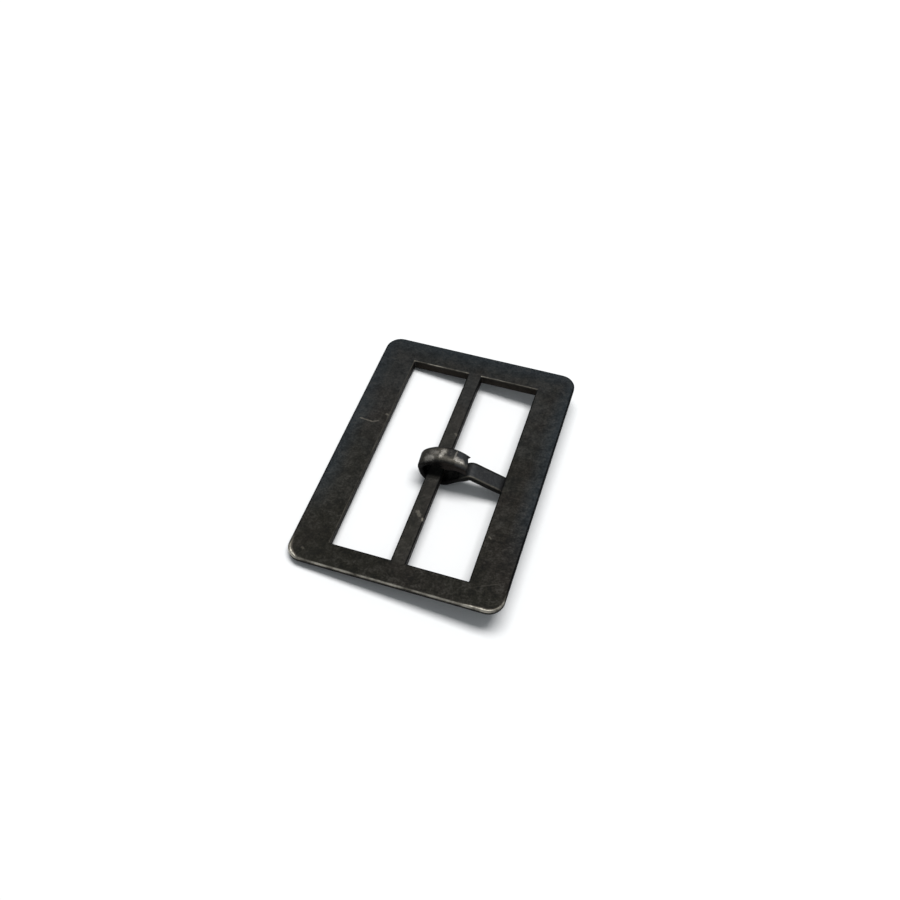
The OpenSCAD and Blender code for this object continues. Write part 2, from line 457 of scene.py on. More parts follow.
shell = Shell()
back = shell.grid(plan_x, plan_y, back_z, back_rub_and_highlight)
front = shell.grid(plan_x, plan_y, front_z, front_rub)
middle_x = (columns[:-1] + columns[1:])[:, None] / 2
middle_y = (rows[:-1] + rows[1:])[None, :] / 2
solid = np.full((len(columns) - 1, len(rows) - 1), True)
for x0, x1, y0, y1 in WINDOWS:
    solid &= ~((middle_x > x0) & (middle_x < x1) & (middle_y > y0) & (middle_y < y1))
for i, j in zip(*np.nonzero(solid)):
    shell.faces.append((back[i, j], back[i + 1, j], back[i + 1, j + 1], back[i, j + 1]))
    shell.faces.append((front[i, j], front[i, j + 1], front[i + 1, j + 1], front[i + 1, j]))
shell.wall(loop_round(0, len(columns) - 1, 0, len(rows) - 1), OUTER_LEVELS, edge_rub_and_highlight * WALL_RUB,
           back, front)
for x0, x1, y0, y1 in WINDOWS:
    i0, i1 = (int(np.argmin(np.abs(columns - x))) for x in (x0, x1))
    j0, j1 = (int(np.argmin(np.abs(rows - y))) for y in (y0, y1))
    loop_i, loop_j = loop_round(i0, i1, j0, j1)
    shell.wall((loop_i[::-1], loop_j[::-1]), WINDOW_LEVELS, edge_rub_and_highlight * WINDOW_WALL_RUB,
               back, front)
frame_blank = shell.piece("frame_casting")
print("frame mesh:", len(frame_blank.data.polygons), "faces")

# %% [markdown]
# ## Cast skin
#
# No casting is dead flat and no edge is dead straight. A Geometry Nodes tree moves each point a
# few hundredths of a millimetre along its normal, by noise of two sizes: long swells that bend
# the reflections, and a fine ripple that makes the edges look filed by hand. It is one tree for
# both pieces, with named inputs, and its result is baked to a plain mesh.

# %% Geometry Nodes: uneven skin
SWELL_SCALE, RIPPLE_SCALE, SKIN_DETAIL = 90.0, 700.0, 2.0


def new_group(kind, name, inputs, outputs):
    """A Geometry or a Shader group, and its input and output nodes.

    An input is given as its kind of socket, or as the value of a number.
    """
    tree = bpy.data.node_groups.new(name, kind + "NodeTree")
    for key, value in inputs.items():
        of_kind = "Float" if isinstance(value, float) else value
        socket = tree.interface.new_socket(key, in_out="INPUT", socket_type="NodeSocket" + of_kind)
        if isinstance(value, float):
            socket.default_value = value
    of_kind = "Geometry" if kind == "Geometry" else "Float"
    for key in outputs:
        tree.interface.new_socket(key, in_out="OUTPUT", socket_type="NodeSocket" + of_kind)
    return tree, add(tree, "NodeGroupInput").outputs, add(tree, "NodeGroupOutput").inputs


def combine(tree, operation, *values):
    """Sockets or numbers, put together one after the other by Math nodes."""
    result = values[0]
    for value in values[1:]:
        result = add(tree, "ShaderNodeMath", {0: result, 1: value}, operation=operation).outputs[0]
    return result


def vector_math(tree, operation, first, second):
    """A Vector Math node on two vectors, or on a vector and a number to scale it by."""
    node = add(tree, "ShaderNodeVectorMath",
               {0: first, "Scale" if operation == "SCALE" else 1: second}, operation=operation)
    return node.outputs["Value" if operation == "DOT_PRODUCT" else "Vector"]


def give_finish(tree, geometry, finish, output):
    """The end of a tree: real geometry with the finish as its material."""
    real = add(tree, "GeometryNodeRealizeInstances", {0: geometry})
    finished = add(tree, "GeometryNodeSetMaterial",
                   {"Geometry": real.outputs[0], "Material": finish})
    tree.links.new(finished.outputs[0], output)


skin_tree, skin_in, skin_out = new_group(
    "Geometry", "uneven skin",
    {"Geometry": "Geometry", "Swell": 0.02 * MM, "Ripple": 0.01 * MM, "Seed": 1.0,
     "Finish": "Material"}, ["Geometry"])
offsets = []
for name, scale in (("Swell", SWELL_SCALE), ("Ripple", RIPPLE_SCALE)):
    noise = add(skin_tree, "ShaderNodeTexNoise",
                {"W": skin_in["Seed"], "Scale": scale, "Detail": SKIN_DETAIL},
                noise_dimensions="4D")
    centred = spread(skin_tree, noise.outputs["Fac"], 0, 1, -1, 1)
    offsets.append(combine(skin_tree, "MULTIPLY", centred, skin_in[name]))
skin_normal = add(skin_tree, "GeometryNodeInputNormal").outputs[0]
along_normal = vector_math(skin_tree, "SCALE", skin_normal, combine(skin_tree, "ADD", *offsets))
move = add(skin_tree, "GeometryNodeSetPosition",
           {"Geometry": skin_in["Geometry"], "Offset": along_normal})
give_finish(skin_tree, move.outputs[0], skin_in["Finish"], skin_out[0])
print("tree:", skin_tree.name, "with", len(skin_tree.nodes), "nodes")


# %% Bake a tree's result to a plain mesh
def bake(piece, tree, **values):
    """Runs the tree on the piece with those input values and keeps the result as its mesh."""
    modifier = piece.modifiers.new(tree.name, "NODES")
    modifier.node_group = tree
    for item in tree.interface.items_tree:
        if item.in_out == "INPUT" and item.name in values:
            modifier[item.identifier] = values[item.name]
    graph = bpy.context.evaluated_depsgraph_get()
    mesh = bpy.data.meshes.new_from_object(piece.evaluated_get(graph), depsgraph=graph)
    piece.modifiers.remove(modifier)
    mesh.name = piece.name
    piece.data = mesh
    return piece


# %% [markdown]
# ## Shared effects of the finish
#
# Both pieces wear the same kind of finish, so its effects are shader node groups that each
# material places with its own values. Mottle gives the cloudy tone of a chemical blackening and
# a fine grain. Rubbed turns the rub number into an uneven mask. Hairlines gives a few faint long
# scratches. Mark is one ragged scratch or spot between two places. They put out only values; the
# shaders stay in the materials.

# %% Shader groups
# Each size of mottle: the scale and detail of its noise, and the noise that becomes 0 and 1
MOTTLES = {"Cloud": (170.0, 4.0, 0.35, 0.65), "Blotch": (800.0, 5.0, 0.36, 0.64),
           "Grain": (3200.0, 4.0, 0.36, 0.64)}
MOTTLE_ROUGHNESS, PLAIN_ROUGHNESS = 0.65, 0.55
# What a noise or a rub is spread from, and to where that isn't 0 to 1
PATCH_SCALE, PATCH_DETAIL, PATCH_SPREAD = 420.0, 4.0, (0.3, 0.7, 0.35, 1.25)
BARE_SPREAD, THIN_SPREAD = (0.38, 0.95), (0.05, 0.5)
LINE_SCALE, LINE_STRETCH, LINE_SPREAD = 2600.0, (1.0, 0.03, 0.2), (0.7, 0.78)
RAGGED_SCALE, RAGGED_DETAIL, RAGGED_SPREAD = 9000000.0, 2.0, (0.3, 0.7, -0.35, 0.35)
MARK_SPREAD = (1.0, 0.3)


def noise_from(tree, scale, factor, detail, place=None, rough=PLAIN_ROUGHNESS):
    """Noise on that place or the object's coordinates, its scale a socket times a factor."""
    place = place or add(tree, "ShaderNodeTexCoord").outputs["Object"]
    return add(tree, "ShaderNodeTexNoise",
               {"Vector": place, "Scale": combine(tree, "MULTIPLY", scale, factor),
                "Detail": detail, "Roughness": rough}).outputs["Fac"]


mottle, given, made = new_group("Shader", "mottle", {"Scale": 1.0}, MOTTLES)
for name, (factor, detail, low, high) in MOTTLES.items():
    noise = noise_from(mottle, given["Scale"], factor, detail, rough=MOTTLE_ROUGHNESS)
    mottle.links.new(spread(mottle, noise, low, high), made[name])

rubbed, given, made = new_group("Shader", "rubbed", {"Rub": 0.0, "Scale": 1.0}, ["Bare", "Thin"])
patchy = noise_from(rubbed, given["Scale"], PATCH_SCALE, PATCH_DETAIL)
worn = combine(rubbed, "MULTIPLY", given["Rub"], spread(rubbed, patchy, *PATCH_SPREAD))
rubbed.links.new(spread(rubbed, worn, *BARE_SPREAD), made["Bare"])
rubbed.links.new(spread(rubbed, worn, *THIN_SPREAD), made["Thin"])

hairlines, given, made = new_group("Shader", "hairlines", {"Scale": 1.0, "Angle": 0.6}, ["Line"])
turned = add(hairlines, "ShaderNodeVectorRotate",
             {"Vector": add(hairlines, "ShaderNodeTexCoord").outputs["Object"],
              "Angle": given["Angle"]}, rotation_type="Z_AXIS")
stretched = vector_math(hairlines, "MULTIPLY", turned.outputs[0], LINE_STRETCH)
line = noise_from(hairlines, given["Scale"], LINE_SCALE, 1.0, stretched)
hairlines.links.new(spread(hairlines, line, *LINE_SPREAD), made["Line"])

mark, given, made = new_group("Shader", "mark", {"Place": "Vector", "From": "Vector",
                                                 "To": "Vector", "Width": 0.0}, ["Mark"])
ends = vector_math(mark, "SUBTRACT", given["To"], given["From"])
reach = vector_math(mark, "SUBTRACT", given["Place"], given["From"])
share = combine(mark, "DIVIDE", vector_math(mark, "DOT_PRODUCT", reach, ends),
                vector_math(mark, "DOT_PRODUCT", ends, ends))
nearest = vector_math(mark, "SCALE", ends, spread(mark, share, 0, 1))
aside = add(mark, "ShaderNodeVectorMath", {0: vector_math(mark, "SUBTRACT", reach, nearest)},
            operation="LENGTH").outputs["Value"]
ragged = noise_from(mark, given["Width"], RAGGED_SCALE, RAGGED_DETAIL)
ratio = combine(mark, "ADD", combine(mark, "DIVIDE", aside, given["Width"]),
                spread(mark, ragged, *RAGGED_SPREAD))
mark.links.new(spread(mark, ratio, *MARK_SPREAD), made["Mark"])
print("shader groups:", mottle.name, rubbed.name, hairlines.name, mark.name)

# %% [markdown]
# ## How a finish is laid on
#
# A real finish goes on in coats, and so does each material here: it starts from a base colour,
# and every coat lays one more colour over it where a mask says so. Most masks fade in between two
# places in mm, and several of them multiplied mark out a face or an edge. The skin is dark oxide
# on metal, so Metallic is high, and it is 1 where the oxide is rubbed through.

# %% Helpers for the two finishes
OXIDE = {"Specular IOR Level": 0.2, "Specular Tint": (0.5, 0.5, 0.5, 1.0)}
OXIDE_METALLIC, BARE_ROUGHNESS = 0.75, 0.36
BLOTCH_SHARE, GRAIN_SHARE = 0.6, 0.4
GRAIN_BUMP, GRAIN_DEPTH = 0.5, 0.02 * MM


def place_group(tree, group, **values):
    """The outputs of a shader group placed in a material with those values or sockets."""
    return add(tree, "ShaderNodeGroup", values, node_tree=group).outputs


def attribute(tree, name, output="Fac"):
    """A number or a vector that the mesh carries at each point."""
    return add(tree, "ShaderNodeAttribute", attribute_name=name).outputs[output]


def bump(tree, height, strength, depth, **normal):
    """A Bump node on that height, after another one if its Normal is given."""
    return add(tree, "ShaderNodeBump", {"Height": height, "Strength": strength,
                                        "Distance": depth, **normal}).outputs["Normal"]


class Look:
    """A material in the making: the places on its piece, its mottle and its colour so far."""

    def __init__(self, name, place_name, cloud_scale):
        self.material, self.tree, self.shader = new_material(name, OXIDE)
        self.place = attribute(self.tree, place_name, "Vector")
        split = add(self.tree, "ShaderNodeSeparateXYZ", {0: self.place})
        self.at = {axis: split.outputs[axis] for axis in "XYZ"}
        self.clouds = place_group(self.tree, mottle, Scale=cloud_scale)
        self.mottled = combine(self.tree, "ADD", self.times(self.clouds["Blotch"], BLOTCH_SHARE),
                               self.times(self.clouds["Grain"], GRAIN_SHARE))
        self.color = None

    def spread(self, value, *ends):
        """The value stretched from the first two ends to the last two, or to 0 and 1."""
        return spread(self.tree, value, *ends)

    def fade(self, axis, start, end, full=1.0, low=0.0):
        """A mask that goes from low to full between two places on that axis, in mm."""
        return spread(self.tree, self.at[axis], start * MM, end * MM, low, full)

    def times(self, *masks):
        """Masks or numbers, multiplied."""
        return combine(self.tree, "MULTIPLY", *masks)

    def most(self, *masks):
        """The strongest of some masks."""
        return combine(self.tree, "MAXIMUM", *masks)

    def marks(self, rows):
        """The strongest of some marks, each with its ends and width in mm and its strength."""
        masks = []
        for name, start, end, width, strength in rows:
            node = add(self.tree, "ShaderNodeGroup",
                       {"Place": self.place, "Width": width * MM,
                        "From": [v * MM for v in start], "To": [v * MM for v in end]},
                       node_tree=mark, label=name)
            masks.append(self.times(node.outputs["Mark"], strength))
        return self.most(*masks)

    def blend(self, mask, first, second):
        """Colour first where the mask is 0 and second where it is 1."""
        first, second = ((*c, 1.0) if isinstance(c, tuple) else c for c in (first, second))
        return add(self.tree, "ShaderNodeMix", {0: mask, 6: first, 7: second},
                   data_type="RGBA").outputs[2]

    def coat(self, mask, color):
        """Lays one more colour over the finish, as strongly as the mask says."""
        self.color = self.blend(mask, self.color, color)

    def finish(self, thin, bare, dull, pits):
        """Joins the colour and the masks to the shader, and returns the material.

        dull is the roughness of the dark and of the pale mottle, pits their bump's strength
        and depth.
        """
        rough = add(self.tree, "ShaderNodeMix",
                    {0: bare, 2: self.spread(self.mottled, 0, 1, *dull), 3: BARE_ROUGHNESS},
                    data_type="FLOAT")
        normal = bump(self.tree, self.clouds["Grain"], GRAIN_BUMP, GRAIN_DEPTH,
                      Normal=bump(self.tree, self.clouds["Blotch"], *pits))
        for name, value in (("Base Color", self.color), ("Roughness", rough.outputs[0]),
                            ("Metallic", self.spread(thin, 0, 1, OXIDE_METALLIC, 1.0)),
                            ("Normal", normal)):
            self.tree.links.new(value, self.shader.inputs[name])
        print("material:", self.material.name, "with", len(self.tree.nodes), "nodes")
        return self.material


print("the oxide is", OXIDE_METALLIC, "metallic")

# %% [markdown]
# ## The frame's finish
#
# The frame is a zinc casting blackened to gunmetal. On the back the tone drifts from stone grey
# on the upper left to a darker olive brown near the viewer: random cloudy tone, with painted
# reflection and painted shade that darken the back towards the viewer. It turns bluish along
# the far and side borders and paler on the bar, and has a fine mottle of darker and lighter
# specks. The walls are painted dark as painted shade, black outside and brown in the windows,
# the left one less dark than the rest. Edges with rub below 0 are painted black, and along the
# rubbed ones it thins to brown and then to bare yellowish metal, which is partly painted
# highlight on the edges turned to the viewer. A few scratches and knocks are marks with two ends
# and a width, placed by the level attribute, which keeps each point's place from before the
# frame is laid down.

# %% Gunmetal on the frame
SLATE, SHADED_OLIVE, RUST = (0.0175, 0.0228, 0.0268), (0.0125, 0.0115, 0.008), (0.0195, 0.0155, 0.0135)
# The pit colour is also the painted shade on the walls, near the viewer and on the dark edges
SPECK_COLOR, PIT_AND_SHADE_COLOR = (0.048, 0.045, 0.041), (0.003, 0.0035, 0.004)
STONE, SHADED_WALL_BROWN = (0.0200, 0.0213, 0.0220), (0.0125, 0.0098, 0.0075)
THIN_COLOR, BARE_COLOR = (0.12, 0.11, 0.092), (0.62, 0.58, 0.50)
FRAME_CLOUDS, FRAME_PATCHES, FRAME_LINES, FRAME_LINE_ANGLE = 0.85, 0.4, 1.0, 1.1
# Each mark: its name, its two ends and its width in mm, and its strength
FRAME_MARKS = [
    ("scratch", (-18.16, 5.22, 0), (-15.6, 4.98, 0), 0.17, 0.6),
    ("scratch", (-15.55, 4.98, 0), (-14.52, 5.57, 0), 0.17, 0.45),
    ("knock on the edge", (-13.6, 7.6, 0), (-13.2, 7.4, 0), 0.3, 0.6),
    ("speck near the corner", (-17.2, -25.7, 0), (-17.0, -25.8, 0), 0.3, 0.3),
    ("knock on the bar", (0.9, 6.9, 0), (1.1, 6.6, 0), 0.3, 0.5),
    ("rub on the bar", (-0.2, -12.4, 0), (0.4, -13.0, 0), 0.5, 0.5),
    ("speck on the bar", (1.1, -13.6, 0), (1.2, -13.9, 0), 0.3, 0.8),
    ("speck on the right rim", (13.7, -13.6, 0), (14.1, -13.9, 0), 0.26, 0.35)]

look = Look("gunmetal", "level", FRAME_CLOUDS)
look.at["side"] = combine(look.tree, "ABSOLUTE", look.at["X"], 0.0)
cloud = look.clouds["Cloud"]
# Random cloudy tone, plus painted reflection and painted shade: darker towards the viewer
tone_and_shade_drift = combine(look.tree, "ADD", look.fade("Y", 18, -24), look.fade("X", -19, -12, 0.1, low=-0.3),
                look.spread(cloud, 0, 1, -0.22, 0.22))
look.color = look.blend(look.spread(tone_and_shade_drift, 0.0, 0.9, 0.25, 1.0), STONE, SHADED_OLIVE)
patches = place_group(look.tree, mottle, Scale=FRAME_PATCHES)
look.coat(look.spread(patches["Cloud"], 0.45, 1.0, 0.0, 0.5), RUST)
at_border = look.most(look.fade("side", 16.6, 19.4, 0.75), look.fade("Y", 24.0, 27.4, 0.75))
look.coat(look.times(at_border, look.fade("Y", -20, -8)), SLATE)
look.coat(look.spread(look.mottled, 0.5, 0.1, 0.0, 0.5), PIT_AND_SHADE_COLOR)
look.coat(look.spread(look.mottled, 0.5, 1.0, 0.0, 0.4), SPECK_COLOR)
# More painted shade towards the viewer
look.coat(look.spread(tone_and_shade_drift, 0.2, 1.0, 0.0, 0.36), PIT_AND_SHADE_COLOR)
look.coat(look.fade("X", -9, -16, 0.02), THIN_COLOR)
on_bar = look.times(look.fade("side", 1.9, 1.6, 0.25), look.spread(cloud, 0, 1, 0.5, 1.0),
                    look.fade("Y", -24.5, -22), look.fade("Y", 23.5, 22))
look.coat(on_bar, SPECK_COLOR)

in_window = look.times(look.fade("side", 19.2, 18.2), look.fade("Y", -27, -26))
left_wall = look.times(look.fade("X", -12.3, -12.7), in_window)
# Painted shade on the walls: near black outside, brown in the windows, less on the left wall
wall_shade = look.times(look.fade("Z", -0.15, -0.4), look.fade("Z", -1.9, -1.7),
                     look.spread(left_wall, 0, 1, 0.9, 0.3))
look.coat(wall_shade, look.blend(in_window, PIT_AND_SHADE_COLOR, SHADED_WALL_BROWN))

# Rub above 0 is wear, partly painted highlight; below 0 the edges are painted dark
rub = attribute(look.tree, "rub")
dark_edge_mask = look.spread(rub, -0.05, -0.6, 0.0, 0.85)
look.coat(dark_edge_mask, PIT_AND_SHADE_COLOR)
wear = place_group(look.tree, rubbed, Rub=rub, Scale=1.0)
scratches = place_group(look.tree, hairlines, Scale=FRAME_LINES, Angle=FRAME_LINE_ANGLE)
look.coat(look.times(scratches["Line"], 0.12), THIN_COLOR)
thin = look.most(wear["Thin"], look.marks(FRAME_MARKS))
look.coat(thin, THIN_COLOR)
look.coat(wear["Bare"], BARE_COLOR)
gunmetal = look.finish(thin, wear["Bare"], dull=(0.58, 0.42), pits=(0.5, 0.05 * MM))

# %% Lay the frame down and bake its skin
frame_blank.data.transform(LAY_DOWN)
frame_casting = bake(frame_blank, skin_tree, Swell=0.025 * MM, Ripple=0.012 * MM, Seed=3.0,
                     Finish=gunmetal)
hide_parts("frame")
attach(frame_casting, "frame")
print("frame casting:", len(frame_casting.data.polygons), "faces")

# %% [markdown]
# ## The tongue: a flat blank
#
# The real tongue is cut from strip with a round tip, and then bent. It could be modelled bent,
# but its worn edges and spots are easier to place on the flat blank, as a length along the strip
# and a place across it. So the blank is built flat here: a section with rounded edges, repeated
# along the strip, narrowing at the tip, and drawn out to a burr where the shears left the cut
# end. Hammering has left its traces too. On its near side the crown spreads and swells, with a
# bevel along its edge and a lip at its end, and the shaft is beaten a little wider and deeper.

# %% The strip's sizes and path
STRIP_WIDTH, CURL_THICKNESS, SHAFT_THICKNESS = 3.1 * MM, 1.2 * MM, 1.1 * MM
START_X, START_Z, START_HEADING = 5.73 * MM, 2.97 * MM, math.radians(140.5)
# Turn in degrees and length in mm of the crown, the shoulder, the back, the turn under the bar,
# the belly, the bend at the table, the riser and the knee
BENDS = [(80, 8.91), (61, 3.23), (0, 1.13), (59, 3.34), (29, 2.64), (30, 1.46), (0, 4.6),
         (-65, 0.55)]
RISER = 6
TIP_REACH = 18.4 * MM
TONGUE_YAW, TONGUE_OFFSET = math.radians(4.4), -1.45 * MM
LEAD_IN, PATH_STEP = 1.5 * MM, 0.05 * MM


def forwards(heading):
    """One step of length 1 in that heading, which turns from X towards Z."""
    return Vector((math.cos(heading), 0, math.sin(heading)))


def strip_path():
    """Points along the strip's outer face, from LEAD_IN before its cut end to its tip."""
    heading = START_HEADING
    point = Vector((START_X, 0, START_Z)) - LEAD_IN * forwards(heading)
    points = [point.copy()]
    for turn, length in [(0, LEAD_IN / MM)] + BENDS:
        steps = max(1, round(length * MM / PATH_STEP))
        for _ in range(steps):
            heading += math.radians(turn) / steps / 2
            point += length * MM / steps * forwards(heading)
            heading += math.radians(turn) / steps / 2
            points.append(point.copy())
    points.append(point + (TIP_REACH - point.x) / math.cos(heading) * forwards(heading))
    return points, heading


path, shaft_heading = strip_path()
path_length = sum((b - a).length for a, b in zip(path, path[1:]))
THIN_FROM = LEAD_IN + sum(length for _, length in BENDS[:RISER]) * MM
THIN_TO = THIN_FROM + BENDS[RISER][1] * MM
print(f"strip {(path_length - LEAD_IN) / MM:.2f} mm long, shaft at "
      f"{math.degrees(shaft_heading) - 360:.1f} degrees")

# %% The flat blank
CURL_ROUND, SHAFT_ROUND, ROUNDEST = 0.36 * MM, 0.12 * MM, 0.9
STATION_PITCH, TIP_STATIONS = 0.16 * MM, 18
ARC_POINTS, FLAT_POINTS, SIDE_POINTS = 4, 8, 3
BURR, FAR_EDGE_RUB = 0.6 * MM, 0.3
# Half the width of the last section, and how far before the round tip the sections turn upright
TIP_END, UPRIGHT_FROM = 0.03 * MM, 2 * MM

# Where the hammering begins and is full: across the strip, then along it from the cut end
NEAR_SIDE, NEAR_EDGE = (0.9 * MM, -1.2 * MM), (-0.5 * MM, -1.5 * MM)
SPREAD_ALONG, BEVEL_ALONG = (12.3 * MM, 9.0 * MM), (11 * MM, 8 * MM)
WIDER_ALONG, WIDER_UNTIL = (22 * MM, 25 * MM), (36.5 * MM, 33 * MM)
DEEPER_UNTIL = (32.8 * MM, 30.5 * MM)
# The middle and the reach of the swell and of the lip along the strip
SWELL_ALONG, RISE_ALONG, LIP_ALONG = (3.8 * MM, 4.3 * MM), (0, 2.0 * MM), (0, 2.2 * MM)
# How far the hammering moves the metal
NEAR_SPREAD, NEAR_SWELL, NEAR_BEVEL = 0.45 * MM, 1.5 * MM, 0.45 * MM
LIP_OUTER, LIP_INNER, LIP_RISE = 0.3 * MM, 1.25 * MM, 0.3 * MM
SHAFT_NEAR, SHAFT_FAR, SHAFT_DEEP = 0.26 * MM, 0.1 * MM, 0.16 * MM


def strip_section(half, thickness, rounding):
    """Points round the strip's section: y across, z from the outer face (0) to the inner one."""
    r = min(rounding, half * ROUNDEST, thickness / 2)
    points = []
    for cy, cz, start, following, between in (
            (half - r, r, -90, (half, thickness - r), SIDE_POINTS),
            (half - r, thickness - r, 0, (r - half, thickness), FLAT_POINTS),
            (r - half, thickness - r, 90, (-half, r), SIDE_POINTS),
            (r - half, r, 180, (half - r, 0), FLAT_POINTS)):
        for k in range(ARC_POINTS):
            turn = math.radians(start + 90 * k / (ARC_POINTS - 1))
            points.append((cy + r * math.cos(turn), cz + r * math.sin(turn)))
        y, z = points[-1]
        for k in range(1, between + 1):
            share = k / (between + 1)
            points.append((y + (following[0] - y) * share, z + (following[1] - z) * share))
    return points


def ease(value, start, end):
    """0 at start, 1 at end, and a smooth bend between."""
    share = min(max((value - start) / (end - start), 0), 1)
    return share * share * (3 - 2 * share)


def hump(value, middle, reach):
    """1 at the middle, falling to 0 at that reach on both sides."""
    return ease(abs(value - middle), reach, 0)


def hammered(s, y, z, thickness):
    """Where a point of the plain strip ends up after the cut end was sheared and hammered."""
    near, near_edge, depth = ease(y, *NEAR_SIDE), ease(y, *NEAR_EDGE), z / thickness
    new_y = y - NEAR_SPREAD * near * ease(s, *SPREAD_ALONG)
    new_z = z + NEAR_SWELL * near * depth * hump(s, *SWELL_ALONG)
    new_z += NEAR_BEVEL * near_edge * (1 - depth) * ease(s, *BEVEL_ALONG)
    new_z -= LIP_RISE * near * (1 - depth) * hump(s, *RISE_ALONG)
    forward = near * (LIP_OUTER + (LIP_INNER - LIP_OUTER) * depth) * hump(s, *LIP_ALONG)
    beaten = ease(s, *WIDER_ALONG)
    new_y += beaten * ease(s, *WIDER_UNTIL) * (
        SHAFT_FAR * ease(y, 0, STRIP_WIDTH / 2) - SHAFT_NEAR * ease(y, 0, -STRIP_WIDTH / 2))
    new_z -= SHAFT_DEEP * beaten * ease(s, *DEEPER_UNTIL) * (1 - depth)
    burr = max(0, y - (STRIP_WIDTH / 2 - BURR)) * max(0, 1 - s / BURR)
    return s - forward - burr, new_y, new_z


tip_round = STRIP_WIDTH / 2 / math.cos(shaft_heading)
straight_end = path_length - tip_round
stations = list(np.linspace(LEAD_IN, straight_end,
                            math.ceil((straight_end - LEAD_IN) / STATION_PITCH)))
halves = [STRIP_WIDTH / 2] * len(stations)
for k in range(1, TIP_STATIONS + 1):
    turn = math.pi / 2 * k / TIP_STATIONS
    stations.append(straight_end + tip_round * math.sin(turn))
    halves.append(max(STRIP_WIDTH / 2 * math.cos(turn), TIP_END))
blank_points, blank_rub, blank_places, blank_faces = [], [], [], []
for place_along, half in zip(stations, halves):
    thinning = min(max((place_along - THIN_FROM) / (THIN_TO - THIN_FROM), 0), 1)
    thickness = CURL_THICKNESS + (SHAFT_THICKNESS - CURL_THICKNESS) * thinning
    section = strip_section(half, thickness, CURL_ROUND + (SHAFT_ROUND - CURL_ROUND) * thinning)
    near_tip = ease(place_along, straight_end - UPRIGHT_FROM, straight_end)
    for y, z in section:
        s, new_y, new_z = hammered(place_along - LEAD_IN, y, z, thickness)
        forward = z * math.tan(shaft_heading) * near_tip
        blank_points.append((LEAD_IN + s + forward, new_y, new_z))
        blank_places.append((place_along - LEAD_IN, y, z))
        worn_width, shown = ((CURL_ROUND, z) if place_along < THIN_FROM
                             else (SHAFT_ROUND, thickness - z))
        edge = max(0, 1 - (half - abs(y)) / worn_width) * max(0, 1 - shown / worn_width)
        blank_rub.append(edge * (1 if y < 0 else FAR_EDGE_RUB))
count = len(section)
for row in range(0, (len(stations) - 1) * count, count):
    for k in range(count):
        n = (k + 1) % count
        blank_faces.append((row + k, row + n, row + count + n, row + count + k))
print("blank:", len(stations), "sections of", count, "points")


# %% Close both ends of the blank
def cap(first, outwards_back):
    """Quads across a section, between its outer and its inner face."""
    start = ARC_POINTS + SIDE_POINTS // 2
    low_side = [first + (start - k) % count for k in range(count // 2 + 1)]
    high_side = [first + (start + k) % count for k in range(count // 2 + 1)]
    faces = []
    for quad in zip(low_side, low_side[1:], high_side[1:], high_side):
        corners = list(dict.fromkeys(quad))
        if len(corners) > 2:
            faces.append(corners if outwards_back else corners[::-1])
    return faces


blank_faces += cap(0, True) + cap((len(stations) - 1) * count, False)
tongue_blank = surface("tongue_strip", blank_points, blank_faces, blank_rub,
                       "strip", blank_places)
print("blank faces:", len(tongue_blank.data.polygons))

# %% [markdown]
# ## Bend the blank
#
# A Geometry Nodes tree does what the bender did. It takes the flat blank and a former, which is a
# curve along the outer face of the finished tongue. A point's length along the blank is looked up
# on the curve, and the point is set down there, as deep in the metal as it was before. So the
# outline of the bends is one curve, and the strip keeps its width and thickness round them.

# %% Geometry Nodes: bend along a former
former_data = bpy.data.curves.new("former", "CURVE")
former_data.dimensions = "3D"
spline = former_data.splines.new("POLY")
spline.points.add(len(path) - 1)
for spline_point, path_point in zip(spline.points, path):
    spline_point.co = (*path_point, 1.0)
former = put_in_scene("former", former_data)

bend_tree, bend_in, bend_out = new_group(
    "Geometry", "bend along a former",
    {"Geometry": "Geometry", "Former": "Object", "Finish": "Material"}, ["Geometry"])
former_info = add(bend_tree, "GeometryNodeObjectInfo", {"Object": bend_in["Former"]})
flat_place = add(bend_tree, "ShaderNodeSeparateXYZ",
                 {0: add(bend_tree, "GeometryNodeInputPosition").outputs[0]}).outputs
on_former = add(bend_tree, "GeometryNodeSampleCurve",
                {"Curves": former_info.outputs["Geometry"], "Length": flat_place["X"]},
                mode="LENGTH").outputs
inwards = vector_math(bend_tree, "CROSS_PRODUCT", on_former["Tangent"], (0.0, 1.0, 0.0))
depth = vector_math(bend_tree, "SCALE", inwards, flat_place["Z"])
sideways = add(bend_tree, "ShaderNodeCombineXYZ", {"Y": flat_place["Y"]}).outputs[0]
bent_place = vector_math(bend_tree, "ADD", on_former["Position"],
                         vector_math(bend_tree, "ADD", depth, sideways))
set_down = add(bend_tree, "GeometryNodeSetPosition",
               {"Geometry": bend_in["Geometry"], "Position": bent_place})
give_finish(bend_tree, set_down.outputs[0], bend_in["Finish"], bend_out[0])
print("tree:", bend_tree.name, "with", len(bend_tree.nodes), "nodes")

# %% [markdown]
# ## The tongue's finish
#
# The tongue is steel, blackened like the frame but browner. The belt's hole has rubbed the whole
# crown of the curl to a dull bronze grey, apart from a dark band across it, and three places to
# light metal. The sheared cut end is greyer. The far edges are painted black. The back of the
# curl and its inside are painted near black as painted shade, where the strip turns under the
# bar and round it, and the side faces are painted dark as painted shade, brown near the cut end.
# The shaft's upper face is grey, with a light line along its near edge that is partly wear and
# partly painted highlight, and it is painted dark again where it goes under the rim, as the rim's
# painted shadow. All this is placed by a length along the strip and a place across it, read from
# the strip attribute, which keeps the flat blank's places on the bent mesh. The spots are the
# same marks as the scratches on the frame, only shorter and wider.

